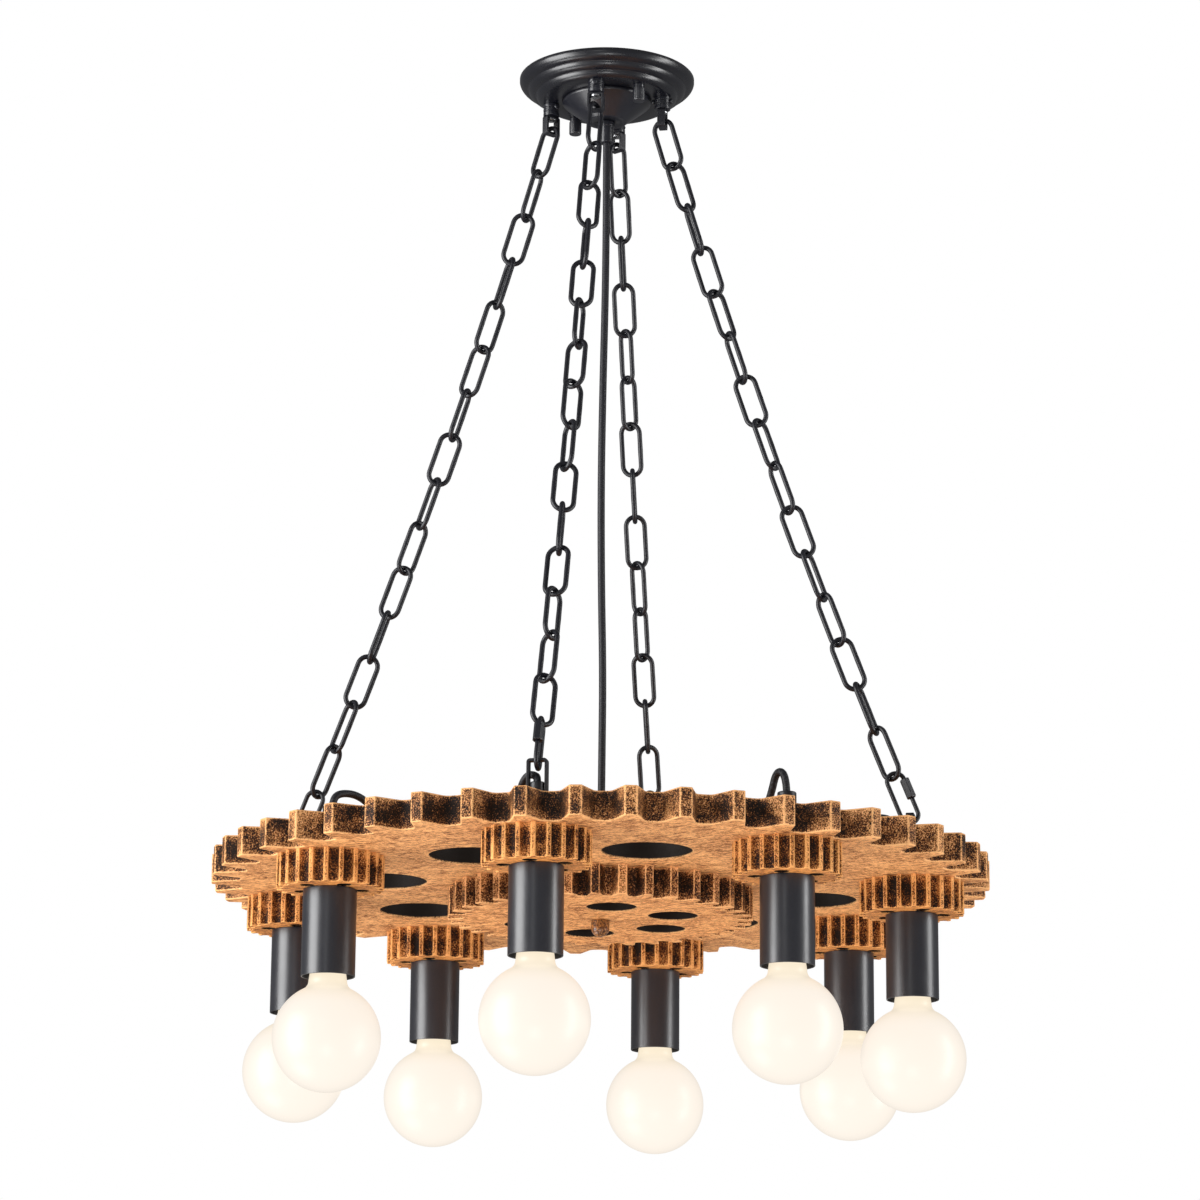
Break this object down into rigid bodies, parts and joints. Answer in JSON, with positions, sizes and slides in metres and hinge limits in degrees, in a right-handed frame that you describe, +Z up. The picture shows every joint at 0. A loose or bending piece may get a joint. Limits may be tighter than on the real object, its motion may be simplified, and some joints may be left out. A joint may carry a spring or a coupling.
{
  "type": "gear chandelier",
  "caption": "Round chandelier of stacked gear-shaped boards hung on chains from a ringed ceiling canopy, with globe bulbs in black tube holders under the rim.",
  "frame": {"origin": "middle of the ceiling bracket's upper face, on the ceiling plane and the middle axis of the canopy", "axes": "+Z up into the ceiling, Y along the ceiling bracket through its two screw slots, X across it"},
  "size_m": [0.6, 0.6, 0.8452],
  "materials": {
    "dry_brushed_board": "black ground dry-brushed with tan, matte",
    "satin_black_metal": "satin black",
    "coppered_metal": "matte copper brown",
    "plain_steel": "plain",
    "lit_opal_glass": "white opal, lit",
    "bulb_base_metal": "plain",
    "socket_plastic": "matte black",
    "contact_brass": "plain",
    "cord_jacket": "matte black"
  },
  "bodies": {
    "canopy": {"ceiling_bracket": "plain_steel", "canopy_screws": "plain_steel", "canopy_shell": "satin_black_metal", "canopy_cone": "satin_black_metal", "centre_nipple": "plain_steel", "canopy_lock_nuts": "plain_steel", "cord_grip": "satin_black_metal", "hanger_collars": "satin_black_metal", "hanger_screws": "plain_steel", "collar_screws": "satin_black_metal", "main_cord": "cord_jacket"},
    "gear": {"main_gear": "dry_brushed_board", "inner_gear": "dry_brushed_board", "finial": "coppered_metal", "centre_bolt": "plain_steel", "wiring_cup": "satin_black_metal", "cup_screws": "satin_black_metal", "cup_gland": "satin_black_metal", "gear_loops": "satin_black_metal", "pinions": "dry_brushed_board", "lamp_rods": "plain_steel", "lead_collars": "satin_black_metal", "lamp_shades": "satin_black_metal", "socket_bodies": "socket_plastic", "socket_contacts": "contact_brass", "lamp_leads": "cord_jacket"},
    "chain_back": {"hanger_loop_back": "satin_black_metal", "chain_back": "satin_black_metal", "quick_link_back": "satin_black_metal"},
    "chain_left": {"hanger_loop_left": "satin_black_metal", "chain_left": "satin_black_metal", "quick_link_left": "satin_black_metal"},
    "chain_front": {"hanger_loop_front": "satin_black_metal", "chain_front": "satin_black_metal", "quick_link_front": "satin_black_metal"},
    "chain_right": {"hanger_loop_right": "satin_black_metal", "chain_right": "satin_black_metal", "quick_link_right": "satin_black_metal"},
    "sleeve_nut_back": {"sleeve_nut_back": "satin_black_metal"},
    "sleeve_nut_left": {"sleeve_nut_left": "satin_black_metal"},
    "sleeve_nut_front": {"sleeve_nut_front": "satin_black_metal"},
    "sleeve_nut_right": {"sleeve_nut_right": "satin_black_metal"},
    "cap_nut_1": {"cap_nut_1": "satin_black_metal"},
    "cap_nut_2": {"cap_nut_2": "satin_black_metal"},
    "bulb_1": {"bulb_globe_1": "lit_opal_glass", "bulb_base_1": "bulb_base_metal"},
    "bulb_2": {"bulb_globe_2": "lit_opal_glass", "bulb_base_2": "bulb_base_metal"},
    "bulb_3": {"bulb_globe_3": "lit_opal_glass", "bulb_base_3": "bulb_base_metal"},
    "bulb_4": {"bulb_globe_4": "lit_opal_glass", "bulb_base_4": "bulb_base_metal"},
    "bulb_5": {"bulb_globe_5": "lit_opal_glass", "bulb_base_5": "bulb_base_metal"},
    "bulb_6": {"bulb_globe_6": "lit_opal_glass", "bulb_base_6": "bulb_base_metal"},
    "bulb_7": {"bulb_globe_7": "lit_opal_glass", "bulb_base_7": "bulb_base_metal"},
    "bulb_8": {"bulb_globe_8": "lit_opal_glass", "bulb_base_8": "bulb_base_metal"}
  },
  "joints": [
    {"name": "gear_twist", "type": "hinge", "parent": "canopy", "child": "gear", "pos_m": [0, 0, -0.64805], "axis": [0, 0, 1], "range_deg": [-8, 8], "stiffness_Nm_per_rad": 0.95},
    {"name": "chain_back_swivel", "type": "hinge", "parent": "canopy", "child": "chain_back", "pos_m": [0.03253, 0.03253, -0.03], "axis": [0, 0, 1], "range_deg": [-10, 10]},
    {"name": "chain_left_swivel", "type": "hinge", "parent": "canopy", "child": "chain_left", "pos_m": [-0.03253, 0.03253, -0.03], "axis": [0, 0, 1], "range_deg": [-10, 10]},
    {"name": "chain_front_swivel", "type": "hinge", "parent": "canopy", "child": "chain_front", "pos_m": [-0.03253, -0.03253, -0.03], "axis": [0, 0, 1], "range_deg": [-10, 10]},
    {"name": "chain_right_swivel", "type": "hinge", "parent": "canopy", "child": "chain_right", "pos_m": [0.03253, -0.03253, -0.03], "axis": [0, 0, 1], "range_deg": [-10, 10]},
    {"name": "sleeve_nut_back_slide", "type": "slide", "parent": "chain_back", "child": "sleeve_nut_back", "axis": [0.2598, 0.2598, -0.93], "range_m": [0, 0.011]},
    {"name": "sleeve_nut_left_slide", "type": "slide", "parent": "chain_left", "child": "sleeve_nut_left", "axis": [0.2598, -0.2598, 0.93], "range_m": [0, 0.011]},
    {"name": "sleeve_nut_front_slide", "type": "slide", "parent": "chain_front", "child": "sleeve_nut_front", "axis": [-0.2598, -0.2598, -0.93], "range_m": [0, 0.011]},
    {"name": "sleeve_nut_right_slide", "type": "slide", "parent": "chain_right", "child": "sleeve_nut_right", "axis": [0.2598, -0.2598, -0.93], "range_m": [0, 0.011]},
    {"name": "cap_nut_1_slide", "type": "slide", "parent": "canopy", "child": "cap_nut_1", "axis": [0, 0, -1], "range_m": [0, 0.012]},
    {"name": "cap_nut_2_slide", "type": "slide", "parent": "canopy", "child": "cap_nut_2", "axis": [0, 0, -1], "range_m": [0, 0.012]},
    {"name": "bulb_1_slide", "type": "slide", "parent": "gear", "child": "bulb_1", "axis": [0, 0, -1], "range_m": [0, 0.036]},
    {"name": "bulb_2_slide", "type": "slide", "parent": "gear", "child": "bulb_2", "axis": [0, 0, -1], "range_m": [0, 0.036]},
    {"name": "bulb_3_slide", "type": "slide", "parent": "gear", "child": "bulb_3", "axis": [0, 0, -1], "range_m": [0, 0.036]},
    {"name": "bulb_4_slide", "type": "slide", "parent": "gear", "child": "bulb_4", "axis": [0, 0, -1], "range_m": [0, 0.036]},
    {"name": "bulb_5_slide", "type": "slide", "parent": "gear", "child": "bulb_5", "axis": [0, 0, -1], "range_m": [0, 0.036]},
    {"name": "bulb_6_slide", "type": "slide", "parent": "gear", "child": "bulb_6", "axis": [0, 0, -1], "range_m": [0, 0.036]},
    {"name": "bulb_7_slide", "type": "slide", "parent": "gear", "child": "bulb_7", "axis": [0, 0, -1], "range_m": [0, 0.036]},
    {"name": "bulb_8_slide", "type": "slide", "parent": "gear", "child": "bulb_8", "axis": [0, 0, -1], "range_m": [0, 0.036]}
  ],
  "couplings": [
    {"joint": "chain_back_swivel", "follows": "gear_twist", "ratio": 1.2353},
    {"joint": "chain_left_swivel", "follows": "gear_twist", "ratio": 1.2353},
    {"joint": "chain_front_swivel", "follows": "gear_twist", "ratio": 1.2353},
    {"joint": "chain_right_swivel", "follows": "gear_twist", "ratio": 1.2353}
  ]
}
